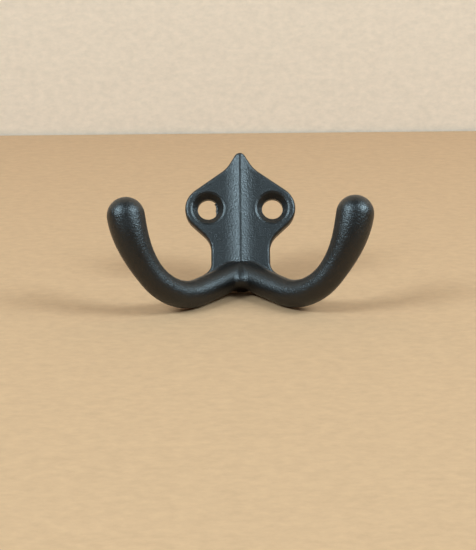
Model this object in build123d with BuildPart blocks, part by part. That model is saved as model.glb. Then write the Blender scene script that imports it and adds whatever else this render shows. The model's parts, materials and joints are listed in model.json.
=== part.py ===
# Double hook: one casting, a pointed wall plate with two splayed arms that end in round knobs.
# The back of the plate lies in the plane y = 0 and the hook reaches out along -Y.
# The origin is on that back, midway between the two screw holes. Sizes are in millimetres.

from build123d import *

import os
from math import acos, atan2, cos, degrees, dist, radians, sin, tan

# Wall plate, seen from the front
plate_thickness = 3.0
screw_spacing = 16.9        # between the two screw holes
lobe_radius = 6.05          # metal round each screw hole, from the hole's centre
tip_height = 15.0           # point of the plate above the screws
tip_radius = 1.6
point_width = 6.9           # width of the point where it meets the shoulders
shoulder_slope = 35.3       # degrees above the horizontal, long edges above the lobes
shoulder_radius = 9.0       # hollow where the point runs into the shoulders
waist_slope = 43.0          # degrees above the horizontal, short edges below the lobes
waist_radius = 5.5          # hollow where the lobes run into the neck
neck_width = 15.4
throat_drop = 16.4          # top of the foot below the screws, at the sides of the neck
throat_slope = 35.0         # degrees below the horizontal, top of the foot behind the arms
throat_radius = 3.0         # hollow where the neck runs into the foot
foot_width = 23.0
foot_drop = 22.0            # bottom of the foot below the screws
foot_corner = 1.0
edge_radius = 0.8           # rounding of the plate's front edge

# Keel down the middle of the plate
keel_height = 0.9
keel_width = 9.0
crest_radius = 1.3

# Countersunk screw holes
screw_hole = 5.5
countersink_width = 8.6
countersink_angle = 90.0
countersink_rim = 0.3       # broken edge of the countersink's mouth
seat_width = 10.2           # level ring round the mouth, cut back into the keel's flank

# Arms
arm_width = 7.0
arm_splay = 50.0            # degrees from straight out of the wall
arm_slope = 26.0            # degrees downwards, where an arm leaves the plate
root_drop = 17.25           # start of the arms below the screws
root_depth = 1.5            # start of the arms in front of the wall
root_length = 15.1          # straight run before the bend
bend_radius = 13.7
bend_angle = 67.6
rise_radius = 25.8          # slack upper curve, along which the arm swells
rise_angle = 36.7
knob_width = 9.4

# Blends of the casting
crotch_radius = 3.0         # between the two arms
collar_radius = 1.6         # between the arms and the plate
collar_inset = 0.04         # the collar is made on a core this much inside plate and arms
arm_start = 0.1             # flat start of both arms, from where their middles cross

hole_x = screw_spacing / 2
neck_x = neck_width / 2
blend_run = 3 * arm_width   # both blends are made on long straight arms and a wide plate,
blend_width = 4 * foot_width    # so that nothing of them ends at an edge, and trimmed after

def on_slope(point, slope, x):
    """Point at x of the sloping line through a point of the front view."""
    return (x, point[1] + (x - point[0]) * tan(radians(slope)))

def on_circle(centre, radius, angle):
    """Point of a circle of the front view."""
    return (centre[0] + radius * cos(radians(angle)), centre[1] + radius * sin(radians(angle)))

# Outline of the plate, half of it drawn and the rest mirrored. The sides of the point are
# the lines from its base on the shoulders that touch the circle of the tip.
lobe_top = on_circle((hole_x, 0), lobe_radius, 90 - shoulder_slope)
lobe_bottom = on_circle((hole_x, 0), lobe_radius, waist_slope - 90)
shoulder = on_slope(lobe_top, -shoulder_slope, point_width / 2)
waist = on_slope(lobe_bottom, waist_slope, neck_x)
tip_centre = (0, tip_height - tip_radius)
tip_angle = degrees(
    atan2(shoulder[1] - tip_centre[1], shoulder[0]) + acos(tip_radius / dist(shoulder, tip_centre))
)
tip_side = on_circle(tip_centre, tip_radius, tip_angle)
throat = (neck_x, -throat_drop)
foot_bottom = (0, -foot_drop)
foot_side = on_slope(throat, -throat_slope, foot_width / 2)
other_side = (-foot_side[0], foot_side[1])

with BuildSketch(Plane.XZ) as outline:
    with BuildLine():
        CenterArc(tip_centre, tip_radius, tip_angle, 90 - tip_angle)
        FilletPolyline(tip_side, shoulder, lobe_top, radius=shoulder_radius)
        CenterArc((hole_x, 0), lobe_radius, waist_slope - 90, 180 - waist_slope - shoulder_slope)
        FilletPolyline(lobe_bottom, waist, throat, foot_side, radius=[waist_radius, throat_radius])
        TangentArc(foot_bottom, foot_side, tangent=(1, 0))
        mirror(about=Plane.YZ)
    make_face()
    corners = outline.vertices()
    fillet([corners.sort_by_distance(side)[0] for side in (foot_side, other_side)], foot_corner)

# Relief of the plate's front: flat flanks that sweep up to the keel's crest
with BuildPart() as relief:
    with BuildSketch(Plane.XY.offset(-foot_drop)) as section:
        with BuildLine():
            crest = (0, -plate_thickness - keel_height)
            edge_x = hole_x + lobe_radius
            side = TangentArc((keel_width / 2, -plate_thickness), crest, tangent=(-1, 0))
            Polyline(side @ 0, (edge_x, -plate_thickness), (edge_x, 0), (0, 0))
            mirror(about=Plane.YZ)
        make_face()
        fillet(section.vertices().group_by(Axis.Y)[0], crest_radius)
    extrude(amount=foot_drop + tip_height)
    extrude(outline.sketch, amount=plate_thickness + keel_height, mode=Mode.INTERSECT)
    walls = relief.faces().filter_by(lambda face: round(face.normal_at().Y, 2) == 0)
    rim = walls.edges().filter_by(Axis.Y, reverse=True)
    fillet(rim.filter_by(lambda edge: edge.center().Y < -plate_thickness / 2), edge_radius)

# One arm: a straight root, a round bend and a slack rise that swells into the knob
arm_plane = Plane(
    origin=(0, -root_depth, -root_drop),
    x_dir=(sin(radians(arm_splay)), -cos(radians(arm_splay)), 0),
    z_dir=(-cos(radians(arm_splay)), -sin(radians(arm_splay)), 0),
)
with BuildLine(arm_plane) as route:
    root = PolarLine((0, 0), root_length, -arm_slope)
    bend = JernArc(root @ 1, root % 1, bend_radius, bend_angle)
    rise = JernArc(bend @ 1, bend % 1, rise_radius, rise_angle)

def swell(share):
    """Radius of the arm at a share of its rise: level at both ends, like a smooth step."""
    return (arm_width + (knob_width - arm_width) * share * share * (3 - 2 * share)) / 2

def crotch(roots):
    """Edge where the two arms cross, in the middle of the hook."""
    return roots.edges().filter_by(GeomType.ELLIPSE).filter_by(Plane.YZ).sort_by(Axis.Y)[0]

heading = Vector(0, (root % 0).Y, (root % 0).Z).normalized()
start_plane = Plane(root @ 0 + heading * arm_start, z_dir=heading)

with BuildPart() as arm:
    # Both roots, longer than they end up so that the blend between them has room, and half of it
    with BuildSketch(Plane(root @ 0, z_dir=root % 0)):
        Circle(arm_width / 2)
    extrude(amount=blend_run, both=True)
    split(bisect_by=start_plane, keep=Keep.TOP)
    mirror(about=Plane.YZ)
    fillet(crotch(arm), crotch_radius)
    split(bisect_by=Plane.YZ, keep=Keep.TOP)
    split(bisect_by=Plane(root @ 1, z_dir=root % 1), keep=Keep.BOTTOM)
    with BuildSketch(Plane(bend @ 0, z_dir=bend % 0)):
        Circle(arm_width / 2)
    sweep(path=bend)
    for share in (0, 0.25, 0.5, 0.75, 1):
        with BuildSketch(Plane(rise @ share, z_dir=rise % share)):
            Circle(swell(share))
    sweep(path=rise, multisection=True)
    with Locations(rise @ 1):
        Sphere(knob_width / 2)

# Collar: rounds the hollow corner all round the roots. It is made on a wide core, then
# trimmed to the plate's outline, inside its rounded rim.
with BuildPart() as collar:
    with BuildSketch(Plane(root @ 0, z_dir=root % 0)):
        Circle(arm_width / 2 - collar_inset)
    extrude(amount=blend_run)
    mirror(about=Plane.YZ)
    core = plate_thickness - collar_inset
    with Locations((0, 0, -root_drop)):
        Box(blend_width, core, blend_width, align=(Align.CENTER, Align.MAX, Align.CENTER))
    split(bisect_by=Plane.XZ, keep=Keep.TOP)
    fillet(crotch(collar), crotch_radius - collar_radius / 4)
    ring = collar.edges().filter_by(GeomType.LINE, reverse=True)
    ring = ring.filter_by_position(Axis.Y, -core - collar_inset, -core + collar_inset)
    fillet(ring, collar_radius)
    with BuildSketch(Plane.XZ):
        offset(outline.sketch, amount=-edge_radius - collar_inset)
    extrude(amount=blend_run, mode=Mode.INTERSECT)

# What a screw hole removes: bore, countersink with its edge broken, and the level seat round it
bore_top = (countersink_width - screw_hole) / 2 / tan(radians(countersink_angle / 2)) - plate_thickness
over = plate_thickness      # how far the cut runs past the plate, in front and behind
mouth = (countersink_width / 2, -plate_thickness)
with BuildPart() as screw_cut:
    with BuildSketch(Plane.XY) as profile:
        with BuildLine():
            Polyline(
                (screw_hole / 2, over),
                (screw_hole / 2, bore_top),
                mouth,
                (seat_width / 2, -plate_thickness),
                (seat_width / 2, -plate_thickness - over),
                (0, -plate_thickness - over),
                (0, over),
                close=True,
            )
        make_face()
        chamfer(profile.vertices().sort_by_distance(mouth)[0], countersink_rim)
    revolve(axis=Axis.Y)

# The casting: plate and arms in one, cut flush with the wall, with its two screw holes
with BuildPart() as hook:
    add(relief.part)
    add(arm.part)
    mirror(arm.part, about=Plane.YZ)
    add(collar.part)
    split(bisect_by=Plane.XZ, keep=Keep.TOP)
    with Locations((-hole_x, 0, 0), (hole_x, 0, 0)):
        add(screw_cut.part, mode=Mode.SUBTRACT)

hook.part.label = "double_hook"
os.makedirs("parts", exist_ok=True)
export_step(hook.part, "parts/double_hook.step")
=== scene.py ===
import bpy
import json
import numpy as np
from math import cos, radians, sin
from mathutils import Matrix, Vector


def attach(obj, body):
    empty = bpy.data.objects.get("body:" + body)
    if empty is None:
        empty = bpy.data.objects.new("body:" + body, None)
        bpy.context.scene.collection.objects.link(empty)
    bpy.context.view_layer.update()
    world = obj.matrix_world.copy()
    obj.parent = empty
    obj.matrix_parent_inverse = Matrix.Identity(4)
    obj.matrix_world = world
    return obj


# Black double hook, laid on a sheet of kraft board in front of a pale wall. Lengths are in metres,
# in the casting's own frame: its back is the plane y = 0, and its arms reach out along -Y.
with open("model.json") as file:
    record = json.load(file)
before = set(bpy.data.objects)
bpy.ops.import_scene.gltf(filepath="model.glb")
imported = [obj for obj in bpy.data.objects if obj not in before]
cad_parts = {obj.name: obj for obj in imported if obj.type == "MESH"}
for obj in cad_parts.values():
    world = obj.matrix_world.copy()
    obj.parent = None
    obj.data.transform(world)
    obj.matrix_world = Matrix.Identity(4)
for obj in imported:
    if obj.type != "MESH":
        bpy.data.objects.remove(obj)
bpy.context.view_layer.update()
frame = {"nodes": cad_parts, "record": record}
print("frame loaded:", ", ".join(frame["nodes"]))

# The hook stands on the foot of its plate and on both arms, so in its own frame the board is a
# tilted plane. Up is the board's normal, and away runs along the board, towards the wall.
board = {
    "lean": 31.0,           # degrees that the plate leans back
    "footHeight": -0.022,   # height where the board meets the foot of the plate
    "depth": 0.184,         # from the foot to the back edge of the board
    "reach": 0.62,          # from the foot to the front edge, and to each side
    "wallGap": 0.001,       # the wall stands this far behind the board and starts as far below it
    "wallHeight": 0.5,
    "points": 3,            # along each side of a sheet's mesh
}
lean = radians(board["lean"])
up = np.array((0.0, -sin(lean), cos(lean)))
away = np.array((0.0, cos(lean), sin(lean)))
foot = np.array((0.0, 0.0, board["footHeight"]))


# Points in the frame: the foot, plus so far sideways, so far along the board, so far above it
def onBoard(x, distance, height):
    sideways = np.multiply.outer(x, (1.0, 0.0, 0.0))
    return foot + sideways + np.multiply.outer(distance, away) + np.multiply.outer(height, up)


def addObject(name, data):
    item = bpy.data.objects.new(name, data)
    bpy.context.scene.collection.objects.link(item)
    return item


camera = {
    "distance": 0.368,      # from the front of the plate
    "below": 15.0,          # degrees under the line straight out of the plate
    "aim": 12.25,           # degrees upwards along which the camera looks
    "roll": 0.55,           # degrees
    "side": -0.00076,       # to the right of the plate's middle
    "plateFront": -0.003,   # where the front of the plate is along Y
    "lens": 91.64,          # millimetres
    "nearest": 0.01,
    "furthest": 20.0,
}


def placeCamera():
    eye = bpy.data.cameras.new("eye")
    eye.lens = camera["lens"]
    eye.clip_start, eye.clip_end = camera["nearest"], camera["furthest"]
    below, aim = radians(camera["below"]), radians(camera["aim"])
    right = Vector((1, 0, 0))
    forward = Vector((0, cos(aim), sin(aim)))
    turn = Matrix((right, right.cross(forward), -forward)).transposed().to_4x4()
    seat = Vector((
        camera["side"],
        camera["plateFront"] - camera["distance"] * cos(below),
        -camera["distance"] * sin(below),
    ))
    roll = Matrix.Rotation(-radians(camera["roll"]), 4, "Z")
    eyeObject = addObject("eye", eye)
    eyeObject.matrix_world = Matrix.Translation(seat) @ turn @ roll
    bpy.context.scene.camera = eyeObject


placeCamera()
print("camera placed")


# A material with an empty node tree, and what the materials and the sky are put together from:
# a node with some of its inputs set by name, a noise, and a mix of two shaders
def newMaterial(name):
    material = bpy.data.materials.new(name)
    material.use_nodes = True
    material.node_tree.nodes.clear()
    return material, material.node_tree


def addNode(tree, kind, **values):
    made = tree.nodes.new(kind)
    for key, value in values.items():
        made.inputs[key.replace("_", " ")].default_value = value
    return made


noiseMiddle = (0.3, 0.7)    # nearly all of a noise lies between these


def addNoise(tree, place, settings):
    scale, detail, roughness = settings
    noise = addNode(tree, "ShaderNodeTexNoise", Scale=scale, Detail=detail, Roughness=roughness)
    tree.links.new(place, noise.inputs["Vector"])
    return noise.outputs["Fac"]


def mixShaders(tree, share, first, second):
    mix = addNode(tree, "ShaderNodeMixShader")
    for source, socket in zip((share, first, second), mix.inputs):
        tree.links.new(source, socket)
    return mix.outputs["Shader"]


# Black finish on a sand casting: near black under a satin coat, over soft orange peel and a
# fine grain, with patches where the coat is a little duller
blackFinish = {
    "colour": (0.0012, 0.0011, 0.0011),
    "ior": 1.56,
    "gloss": (0.32, 0.41),          # roughness of the shinier and the duller patches
    "patches": (260.0, 4.0, 0.6),   # each noise has its scale, detail and roughness
    "peel": (2400.0, 2.0, 0.5),
    "grain": (4400.0, 2.0, 0.6),
    "peelDepth": 0.0001,
    "grainDepth": 0.000045,
}


def coatBlack():
    material, tree = newMaterial("blackFinish")
    link = tree.links.new
    place = addNode(tree, "ShaderNodeTexCoord").outputs["Object"]
    dimples = addNode(tree, "ShaderNodeBump", Strength=1.0, Distance=blackFinish["peelDepth"])
    grains = addNode(tree, "ShaderNodeBump", Strength=1.0, Distance=blackFinish["grainDepth"])
    link(addNoise(tree, place, blackFinish["peel"]), dimples.inputs["Height"])
    link(addNoise(tree, place, blackFinish["grain"]), grains.inputs["Height"])
    link(dimples.outputs["Normal"], grains.inputs["Normal"])
    low, high = noiseMiddle
    shiny, dull = blackFinish["gloss"]
    sheen = addNode(
        tree, "ShaderNodeMapRange", From_Min=low, From_Max=high, To_Min=shiny, To_Max=dull
    )
    link(addNoise(tree, place, blackFinish["patches"]), sheen.inputs["Value"])
    coat = addNode(
        tree, "ShaderNodeBsdfPrincipled", Base_Color=(*blackFinish["colour"], 1), IOR=blackFinish["ior"]
    )
    link(sheen.outputs["Result"], coat.inputs["Roughness"])
    link(grains.outputs["Normal"], coat.inputs["Normal"])
    out = addNode(tree, "ShaderNodeOutputMaterial")
    link(coat.outputs["BSDF"], out.inputs["Surface"])
    return material


castingCoat = coatBlack()
for casting in frame["nodes"].values():
    casting.data.materials.clear()
    casting.data.materials.append(castingCoat)
print("casting coated black")


# Mesh of a grid of points: rows follow the first index, and each cell is one face. A tube's
# columns close into a ring, and its first and last rows are capped.
def gridMesh(name, points, tube=False):
    rows, columns = points.shape[:2]
    index = np.arange(rows * columns).reshape(rows, columns)
    caps = [index[0, ::-1].tolist(), index[-1].tolist()] if tube else []
    if tube:
        index = np.hstack((index, index[:, :1]))
    cells = np.stack((index[:-1, :-1], index[:-1, 1:], index[1:, 1:], index[1:, :-1]), axis=-1)
    mesh = bpy.data.meshes.new(name)
    mesh.from_pydata(points.reshape(-1, 3).tolist(), [], cells.reshape(-1, 4).tolist() + caps)
    mesh.validate()
    return addObject(name, mesh)


# Flash left in the screw hole at the casting's left: a low fin along one side of the bore. The
# bore and the holes' spacing come from the record.
millimetre = 0.001
mounts = {mount["name"]: mount for mount in frame["record"]["mounts"]}
screwHoles = mounts["screw_holes"]["dims"]
burr = {
    "hole": (-screwHoles["spacing_x_mm"] / 2 * millimetre, 0.0, 0.0),
    "boreRadius": screwHoles["hole_r_mm"] * millimetre,
    "front": 0.0007,        # middle of the fin, in front of the wall
    "chord": 0.00203,       # from the hole's axis to the fin's straight edge
    "root": 0.00025,        # how deep the fin starts inside the metal
    "thickness": 0.0007,
    "ripple": 0.00008,      # unevenness of the edge
    "sines": ((9.0, 1.0, 0.0), (23.0, 0.6, 1.0)),   # rate, share and start of each ripple
    "lobe": 0.00045,        # how much further the fin reaches near its top
    "lobeHeight": 0.8,      # where the lobe is and how wide, in halves of the fin's height
    "lobeWidth": 0.12,
    "rows": 49,
    "columns": 24,
}


# At each height the fin's section is a flat ellipse from inside the bore's wall, which is the
# circle of the bore, to the chord. The chord is rippled by two sines, and a bell near the top
# carries it further in. Both ends lie inside the wall, where the chord has met the circle.
def burrPoints():
    tall = np.sqrt(burr["boreRadius"] ** 2 - burr["chord"] ** 2)
    turns = np.linspace(0, 2 * np.pi, burr["columns"], endpoint=False)
    height, turn = np.meshgrid(np.linspace(-1, 1, burr["rows"]), turns, indexing="ij")
    wall = np.sqrt(burr["boreRadius"] ** 2 - (tall * height) ** 2)
    waves = sum(share * np.sin(rate * height + start) for rate, share, start in burr["sines"])
    bell = np.exp(-((height - burr["lobeHeight"]) / burr["lobeWidth"]) ** 2)
    edge = burr["chord"] + burr["ripple"] * waves * (1 - height ** 2) - burr["lobe"] * bell
    outer = wall + burr["root"]
    across = (outer + edge) / 2 + (outer - edge) / 2 * np.cos(turn)
    deep = burr["thickness"] / 2 * np.sin(turn) - burr["front"]
    return np.stack((across, deep, tall * height), axis=-1) + burr["hole"]


burrPiece = gridMesh("holeBurr", burrPoints(), tube=True)
burrPiece.data.materials.append(castingCoat)
burrPiece.data.shade_smooth()
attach(burrPiece, "root")
print("burr in the hole")


# Matt board or paper with fine fibres. Only its front is seen, so that it never hides the hook.
paper = {
    "boardColour": (0.472, 0.272, 0.147),
    "wallColour": (0.73, 0.54, 0.405),
    "fleck": 0.07,                  # how far the fibres are darker and lighter than the colour
    "fibres": (560.0, 6.0, 0.65),   # scale, detail and roughness of their noise
    "stretch": 0.6,                 # share of that scale sideways, where the fibres are longer
    "roughness": 0.9,
    "gloss": 0.2,
}


def paperSheet(name, colour):
    material, tree = newMaterial(name)
    link = tree.links.new
    place = addNode(tree, "ShaderNodeTexCoord").outputs["Object"]
    along = addNode(tree, "ShaderNodeMapping", Scale=(paper["stretch"], 1.0, 1.0))
    link(place, along.inputs["Vector"])
    tone = addNode(tree, "ShaderNodeValToRGB")
    flecks = (-paper["fleck"], paper["fleck"])
    for end, position, fleck in zip(tone.color_ramp.elements, noiseMiddle, flecks):
        end.position = position
        end.color = (*(part * (1 + fleck) for part in colour), 1)
    link(addNoise(tree, along.outputs["Vector"], paper["fibres"]), tone.inputs["Fac"])
    matt = addNode(
        tree, "ShaderNodeBsdfPrincipled", Roughness=paper["roughness"], Specular_IOR_Level=paper["gloss"]
    )
    link(tone.outputs["Color"], matt.inputs["Base Color"])
    clear = addNode(tree, "ShaderNodeBsdfTransparent")
    seenBack = addNode(tree, "ShaderNodeMath")
    seenBack.operation = "MULTIPLY"
    link(addNode(tree, "ShaderNodeNewGeometry").outputs["Backfacing"], seenBack.inputs[0])
    link(addNode(tree, "ShaderNodeLightPath").outputs["Is Camera Ray"], seenBack.inputs[1])
    either = mixShaders(tree, seenBack.outputs["Value"], matt.outputs["BSDF"], clear.outputs["BSDF"])
    link(either, addNode(tree, "ShaderNodeOutputMaterial").inputs["Surface"])
    return material


# Both sheets are flat grids as wide as the board: it runs from its front edge to its back edge, and
# the wall upwards from just below the board
sides = np.linspace(-board["reach"], board["reach"], board["points"])
boardAway = np.linspace(-board["reach"], board["depth"], board["points"])
gridX, gridAway = np.meshgrid(sides, boardAway)
boardSheet = gridMesh("board", onBoard(gridX, gridAway, np.zeros_like(gridX)))
wallUp = np.linspace(-board["wallGap"], board["wallHeight"], board["points"])
gridX, gridUp = np.meshgrid(sides, wallUp)
wallAway = np.full_like(gridX, board["depth"] + board["wallGap"])
wallSheet = gridMesh("wall", onBoard(gridX, wallAway, gridUp))
boardSheet.data.materials.append(paperSheet("kraftBoard", paper["boardColour"]))
wallSheet.data.materials.append(paperSheet("wallPaper", paper["wallColour"]))
print("board and wall in place")


# Two soft boxes at the sides. Angles are seen from the hook: sideways from the camera, and above
# the board.
softBoxes = {
    "left": {"sideways": -58.0, "height": 40.0, "watts": 5.6},
    "right": {"sideways": 66.0, "height": 40.0, "watts": 6.0},
    "distance": 0.75,
    "width": 0.32,
    "tall": 0.22,
    "colour": (0.65, 0.88, 1.0),
}


def placeSoftBox(name):
    values = softBoxes[name]
    turned, height = radians(values["sideways"]), radians(values["height"])
    level = cos(height)
    towards = Vector(onBoard(sin(turned) * level, -cos(turned) * level, sin(height)) - foot)
    lamp = bpy.data.lights.new(name + "SoftBox", "AREA")
    lamp.shape = "RECTANGLE"
    lamp.size = softBoxes["width"]
    lamp.size_y = softBoxes["tall"]
    lamp.energy = values["watts"]
    lamp.color = softBoxes["colour"]
    lampObject = addObject(name + "SoftBox", lamp)
    lampObject.location = towards * softBoxes["distance"]
    lampObject.rotation_euler = towards.to_track_quat("Z", "Y").to_euler()


for name in ("left", "right"):
    placeSoftBox(name)

# A broad cool sky that turns brown towards the horizon and dims overhead
sky = {
    "low": (0.11, 0.085, 0.06),
    "high": (0.64, 0.83, 0.94),
    "top": (0.15, 0.14, 0.12),
    "highFrom": (20.0, 44.0),       # degrees above the board over which the brown turns to sky
    "topFrom": (60.0, 78.0),        # and over which the sky dims again
    "seen": (0.76, 0.65, 0.50),     # what the camera sees past the board and the wall
}


def glowing(tree, colour):
    light = addNode(tree, "ShaderNodeBackground", Color=(*colour, 1), Strength=1.0)
    return light.outputs["Background"]


def hangSky():
    world = bpy.data.worlds.new("sky")
    world.use_nodes = True
    tree = world.node_tree
    tree.nodes.clear()
    link = tree.links.new
    rise = addNode(tree, "ShaderNodeVectorMath")
    rise.operation = "DOT_PRODUCT"
    rise.inputs[1].default_value = up
    link(addNode(tree, "ShaderNodeTexCoord").outputs["Generated"], rise.inputs[0])
    glow = glowing(tree, sky["low"])
    for name, angles in (("high", "highFrom"), ("top", "topFrom")):
        start, end = (sin(radians(angle)) for angle in sky[angles])
        share = addNode(tree, "ShaderNodeMapRange", From_Min=start, From_Max=end)
        share.interpolation_type = "SMOOTHSTEP"
        link(rise.outputs["Value"], share.inputs["Value"])
        glow = mixShaders(tree, share.outputs["Result"], glow, glowing(tree, sky[name]))
    seen = addNode(tree, "ShaderNodeLightPath").outputs["Is Camera Ray"]
    either = mixShaders(tree, seen, glow, glowing(tree, sky["seen"]))
    link(either, addNode(tree, "ShaderNodeOutputWorld").inputs["Surface"])
    bpy.context.scene.world = world


hangSky()
bpy.context.scene.view_settings.view_transform = "Standard"
print("lights set")
